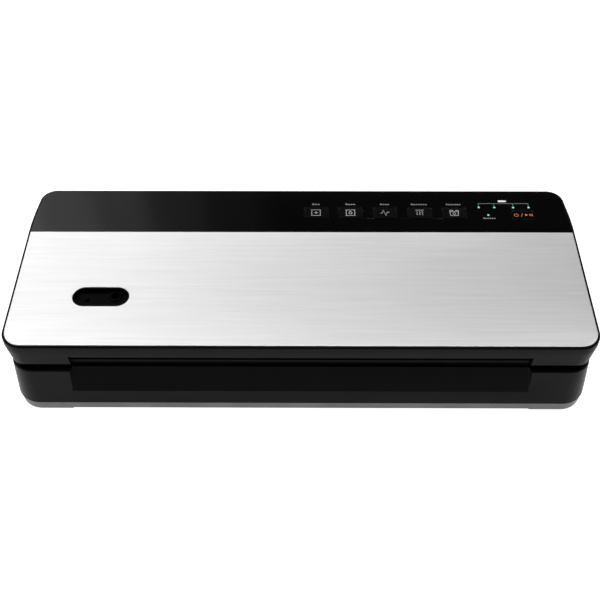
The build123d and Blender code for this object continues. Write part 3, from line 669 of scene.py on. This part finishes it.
# ---------------------------------------------------------------- steel plate
# A thin sheet of stainless steel, brushed along its length and bonded in a shallow seat in the lid. Its edge
# is polished by the shears, and longer scratches stand out of the fine brush here and there.
steel, steel_tree, steel_shader = finish("brushed_steel", (0.80, 0.80, 0.81), 0.42, 0.5, 1.0)
steel_shader.inputs["Anisotropic"].default_value = 0.65
steel_place = steel_tree.nodes.new("ShaderNodeTexCoord")
BRUSH_LAYERS = {"fine": ((10, 2600, 10), 3), "streak": ((14, 420, 14), 2)}
brush = {}
for layer_name, (layer_stretch, layer_detail) in BRUSH_LAYERS.items():
    layer_turn = steel_tree.nodes.new("ShaderNodeMapping")
    layer_turn.inputs["Scale"].default_value = layer_stretch
    layer_noise = steel_tree.nodes.new("ShaderNodeTexNoise")
    layer_noise.inputs["Scale"].default_value = 1
    layer_noise.inputs["Detail"].default_value = layer_detail
    steel_tree.links.new(steel_place.outputs["Object"], layer_turn.inputs["Vector"])
    steel_tree.links.new(layer_turn.outputs["Vector"], layer_noise.inputs["Vector"])
    brush[layer_name] = layer_noise.outputs["Fac"]
brush_bump = steel_tree.nodes.new("ShaderNodeBump")
brush_bump.inputs["Distance"].default_value = 0.000006
steel_tree.links.new(brush["fine"], brush_bump.inputs["Height"])
steel_tree.links.new(brush_bump.outputs["Normal"], steel_shader.inputs["Normal"])
streak_tone = steel_tree.nodes.new("ShaderNodeValToRGB")
for stop, (spot, tone) in zip((0, 1), ((0.30, 0.775), (0.70, 0.825))):
    streak_tone.color_ramp.elements[stop].position = spot
    streak_tone.color_ramp.elements[stop].color = (tone, tone, tone * 1.01, 1)
steel_tree.links.new(brush["streak"], streak_tone.inputs["Fac"])
steel_tree.links.new(streak_tone.outputs["Color"], steel_shader.inputs["Base Color"])
streak_rough = steel_tree.nodes.new("ShaderNodeMapRange")
streak_rough.inputs["To Min"].default_value = 0.40
streak_rough.inputs["To Max"].default_value = 0.44
steel_tree.links.new(brush["streak"], streak_rough.inputs["Value"])
steel_tree.links.new(streak_rough.outputs["Result"], steel_shader.inputs["Roughness"])
brush_line = steel_tree.nodes.new("ShaderNodeTangent")
brush_line.direction_type = "UV_MAP"
brush_line.uv_map = "brush"
steel_tree.links.new(brush_line.outputs["Tangent"], steel_shader.inputs["Tangent"])
steel_piece = moulded("steel_plate", 0.35, steel)
brush_map = steel_piece.data.uv_layers.new(name="brush")
for corner in steel_piece.data.loops:
    spot = steel_piece.data.vertices[corner.vertex_index].co
    brush_map.data[corner.index].uv = (spot.x, spot.y)

# ---------------------------------------------------------------- control panel
# A strip of gloss black acrylic at the back of the lid. Its legends are screen-printed: a mark over each key,
# a bracket that joins the four level lights, and a short mark under the power light.
gloss, gloss_tree, gloss_shader = finish("gloss_panel", (0.0005, 0.0004, 0.0004), 0.11, 0.38)
add_grain(gloss_tree, gloss_shader, 60, 0.00002, 0.02)
moulded("control_panel", 0.12, gloss)

INK_Z = (-0.02, 0.035)
ink_light = grained("ink_light", (0.40, 0.40, 0.40), 0.55, 0.3, 900, 0.00001)
ink_pale = grained("ink_pale", (0.20, 0.20, 0.20), 0.55, 0.3, 900, 0.00001)
ink_white = grained("ink_white", (0.80, 0.80, 0.80), 0.5, 0.3, 900, 0.00001)
ink_grey = grained("ink_grey", (0.12, 0.12, 0.125), 0.55, 0.3, 900, 0.00001)
ink_orange = grained("ink_orange", (0.72, 0.25, 0.06), 0.5, 0.3, 900, 0.00001)
PANEL_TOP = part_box("control_panel")[1][2] / MM
LABEL_Y = 61.1


class Print:
    """Ink shapes on a flat face, in millimetres, kept as thin closed solids."""

    def __init__(self, top):
        self.form = bmesh.new()
        self.low, self.high = top + INK_Z[0], top + INK_Z[1]

    def rings(self, points):
        return [[self.form.verts.new(Vector((x, y, z)) * MM) for x, y in points]
                for z in (self.low, self.high)]

    def patch(self, points):
        """A filled shape."""
        low, high = self.rings(points)
        self.form.faces.new(low[::-1])
        self.form.faces.new(high)
        for i in range(len(points)):
            j = (i + 1) % len(points)
            self.form.faces.new((low[i], low[j], high[j], high[i]))

    def line(self, points, width, closed=False):
        """A stroke of one width with mitred corners."""
        count = len(points)
        sides = ([], [])
        for i, point in enumerate(points):
            here = Vector(point)
            before = Vector(points[i - 1]) if closed or i else None
            after = Vector(points[(i + 1) % count]) if closed or i < count - 1 else None
            steps = []
            if before:
                steps.append((here - before).normalized())
            if after:
                steps.append((after - here).normalized())
            normals = [Vector((-step.y, step.x)) for step in steps]
            mitre = sum(normals, Vector((0, 0)))
            mitre = mitre.normalized() if mitre.length > 0.1 else normals[0]
            reach = width / 2 / max(mitre.dot(normals[0]), 0.5)
            sides[0].append(here + mitre * reach)
            sides[1].append(here - mitre * reach)
        left, right = [self.rings(side) for side in sides]
        last = count if closed else count - 1
        for i in range(last):
            j = (i + 1) % count
            for a, b, c, d in ((left[1][i], left[1][j], right[1][j], right[1][i]),
                               (right[0][i], right[0][j], left[0][j], left[0][i]),
                               (left[0][i], left[0][j], left[1][j], left[1][i]),
                               (right[1][i], right[1][j], right[0][j], right[0][i])):
                self.form.faces.new((a, b, c, d))
        if not closed:
            for i in (0, count - 1):
                self.form.faces.new((left[0][i], left[1][i], right[1][i], right[0][i]))

    def ring(self, x, y, r, width, start=0.0, end=360.0, steps=28):
        whole = end - start >= 360
        turns = [radians(start + (end - start) * i / (steps if whole else steps - 1)) for i in range(steps)]
        self.line([(x + r * cos(a), y + r * sin(a)) for a in turns], width, whole)

    def dot(self, x, y, r):
        self.patch([(x + r * cos(2 * pi * i / 20), y + r * sin(2 * pi * i / 20)) for i in range(20)])

    def box(self, x, y, width, height):
        half_w, half_h = width / 2, height / 2
        self.patch([(x - half_w, y - half_h), (x + half_w, y - half_h), (x + half_w, y + half_h),
                    (x - half_w, y + half_h)])

    def mark(self, x, y, width, height=1.5):
        """A row of short blocks that stands where a printed word would be."""
        count = max(3, round(width / 1.7))
        pitch = width / count
        for i in range(count):
            tall = height * (1.0 if i == 0 else 0.72)
            self.box(x - width / 2 + pitch * (i + 0.5), y - (height - tall) / 2, pitch * 0.7, tall)

    def done(self, name, ink, node_name):
        bmesh.ops.recalc_face_normals(self.form, faces=self.form.faces)
        mesh = bpy.data.meshes.new(name)
        self.form.to_mesh(mesh)
        self.form.free()
        return show(mesh, name, ink, node_name)


KEY_NAMES = ("dry", "moist", "pulse", "seal", "canister")
key_middle = {name: [sum(corner[i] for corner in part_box(name + "_key")) / 2 / MM for i in (0, 1)]
              for name in (*KEY_NAMES, "start")}
LABEL_WIDTHS = {"dry": 5.8, "moist": 7.6, "pulse": 7.3, "seal": 12.4, "canister": 11.2}
labels = Print(PANEL_TOP)
for key_name, label_width in LABEL_WIDTHS.items():
    labels.mark(key_middle[key_name][0], LABEL_Y, label_width, 1.5)
labels.mark(138.7, 46.4, 9.4, 1.5)
labels.done("panel_marks", ink_pale, "control_panel")

level_mark = Print(PANEL_TOP)
level_mark.patch([(147.2, 63.7), (152.4, 63.7), (153.6, 64.6), (152.4, 65.5), (147.2, 65.5)])
level_mark.done("panel_level_mark", ink_white, "control_panel")

LEVEL_LIGHTS = [(132.1, 58.0), (143.7, 58.0), (157.7, 58.0), (169.2, 58.0)]
BRACKET_Y = 62.1
bracket = Print(PANEL_TOP)
bracket.line([(LEVEL_LIGHTS[0][0] - 0.2, BRACKET_Y), (LEVEL_LIGHTS[-1][0] + 0.2, BRACKET_Y)], 0.55)
for light_x, light_y in LEVEL_LIGHTS:
    bracket.line([(light_x, BRACKET_Y - 0.3), (light_x, light_y + 1.5)], 0.45)
bracket.done("panel_bracket", ink_grey, "control_panel")

# ---------------------------------------------------------------- level lights
# Four small light pipes for the level and one for the power, in clear resin with a blue-green glow. The
# second is a little bluer.
led, led_tree, led_shader = finish("led_lens", (0.02, 0.5, 0.55), 0.2, 0.5)
led_place = led_tree.nodes.new("ShaderNodeTexCoord")
led_split = led_tree.nodes.new("ShaderNodeSeparateXYZ")
led_range = led_tree.nodes.new("ShaderNodeMapRange")
led_range.inputs["From Min"].default_value = LEVEL_LIGHTS[0][0] * MM
led_range.inputs["From Max"].default_value = LEVEL_LIGHTS[-1][0] * MM
led_tone = led_tree.nodes.new("ShaderNodeValToRGB")
led_tone.color_ramp.interpolation = "CONSTANT"
LED_TONES = ((0.0, (0.22, 0.43, 0.46)), (0.15, (0.22, 0.45, 0.42)), (0.22, (0.22, 0.38, 0.58)),
             (0.5, (0.22, 0.45, 0.38)))
for stop, (spot, tone) in enumerate(LED_TONES):
    element = led_tone.color_ramp.elements[stop] if stop < 2 else led_tone.color_ramp.elements.new(spot)
    element.position, element.color = spot, (*tone, 1)
led_tree.links.new(led_place.outputs["Object"], led_split.inputs["Vector"])
led_tree.links.new(led_split.outputs["X"], led_range.inputs["Value"])
led_tree.links.new(led_range.outputs["Result"], led_tone.inputs["Fac"])
led_tree.links.new(led_tone.outputs["Color"], led_shader.inputs["Emission Color"])
led_shader.inputs["Emission Strength"].default_value = 0.85
moulded("led_lenses", 0.1, led)

# ---------------------------------------------------------------- keys
# Five satin key caps stand a hair over the strip, and the start key lies flush in it. Each has a pictogram
# printed in light grey, and the start key's is orange.
keys_top = {}
for key_name in (*KEY_NAMES, "start"):
    flush = key_name == "start"
    moulded(key_name + "_key", 0.1 if flush else 0.3, gloss if flush else key_plastic)
    keys_top[key_name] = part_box(key_name + "_key")[1][2] / MM
STROKE = 0.36


def key_print(name):
    return Print(keys_top[name]), key_middle[name][0], key_middle[name][1]


def bag_frame(ink, x, y):
    """A bag seen from the front, with notched sides."""
    ink.line([(x - 3.4, y + 3.0), (x + 3.4, y + 3.0), (x + 2.9, y + 1.5), (x + 3.4, y), (x + 2.9, y - 1.5),
              (x + 3.4, y - 3.0), (x - 3.4, y - 3.0), (x - 2.9, y - 1.5), (x - 3.4, y), (x - 2.9, y + 1.5)],
             STROKE, True)


ink, x, y = key_print("dry")
bag_frame(ink, x, y)
ink.line([(x - 1.5, y), (x + 1.5, y)], STROKE)
ink.dot(x, y, 0.85)
ink.done("dry_key_print", ink_light, "dry_key")

ink, x, y = key_print("moist")
bag_frame(ink, x, y)
ink.line([(x, y + 1.9), (x + 1.15, y - 0.1), (x + 0.7, y - 1.3), (x - 0.7, y - 1.3), (x - 1.15, y - 0.1)],
         STROKE, True)
ink.done("moist_key_print", ink_light, "moist_key")

ink, x, y = key_print("pulse")
ink.line([(x - 3.4, y - 0.5), (x - 2.2, y - 0.5), (x - 1.2, y + 2.9), (x + 0.5, y - 2.9), (x + 1.6, y + 0.7),
          (x + 3.4, y + 0.7)], STROKE)
ink.done("pulse_key_print", ink_light, "pulse_key")

ink, x, y = key_print("seal")
ink.line([(x - 3.2, y + 2.9), (x + 3.2, y + 2.9)], STROKE)
for offset in (-2.0, 0.0, 2.0):
    ink.line([(x + offset - 0.3, y + 1.7), (x + offset + 0.45, y + 0.5), (x + offset - 0.3, y - 0.9),
              (x + offset + 0.45, y - 2.4)], STROKE * 0.9)
ink.done("seal_key_print", ink_light, "seal_key")

ink, x, y = key_print("canister")
ink.line([(x - 3.2, y + 1.4), (x + 3.2, y + 1.4), (x + 2.8, y - 2.9), (x - 2.8, y - 2.9)], STROKE, True)
ink.line([(x - 3.5, y + 2.6), (x - 0.6, y + 2.6)], STROKE * 1.3)
ink.line([(x + 0.9, y + 2.6), (x + 3.5, y + 2.6)], STROKE * 1.3)
ink.ring(x, y - 0.8, 1.0, STROKE)
ink.done("canister_key_print", ink_light, "canister_key")

ink, x, y = key_print("start")
ink.ring(x - 4.9, y - 0.2, 1.5, 0.26, -235, 55, 24)
ink.line([(x - 4.9, y + 0.3), (x - 4.9, y + 1.8)], 0.26)
ink.line([(x - 1.3, y - 1.8), (x - 0.3, y + 1.8)], 0.3)
ink.patch([(x + 1.6, y - 1.1), (x + 3.5, y), (x + 1.6, y + 1.1)])
ink.box(x + 5.2, y, 0.48, 2.2)
ink.box(x + 6.7, y, 0.48, 2.2)
ink.done("start_key_print", ink_orange, "start_key")

# ---------------------------------------------------------------- hose port
# A round-ended dish of gloss black ABS let into the steel, with a socket for a canister hose at its right.
# A blind dimple at the left locates the hose's plug.
port_gloss = grained("port_gloss", (0.0007, 0.0007, 0.0008), 0.20, 0.03, 3000, 0.000008, 0.03)
moulded("port_insert", 0.45, port_gloss)
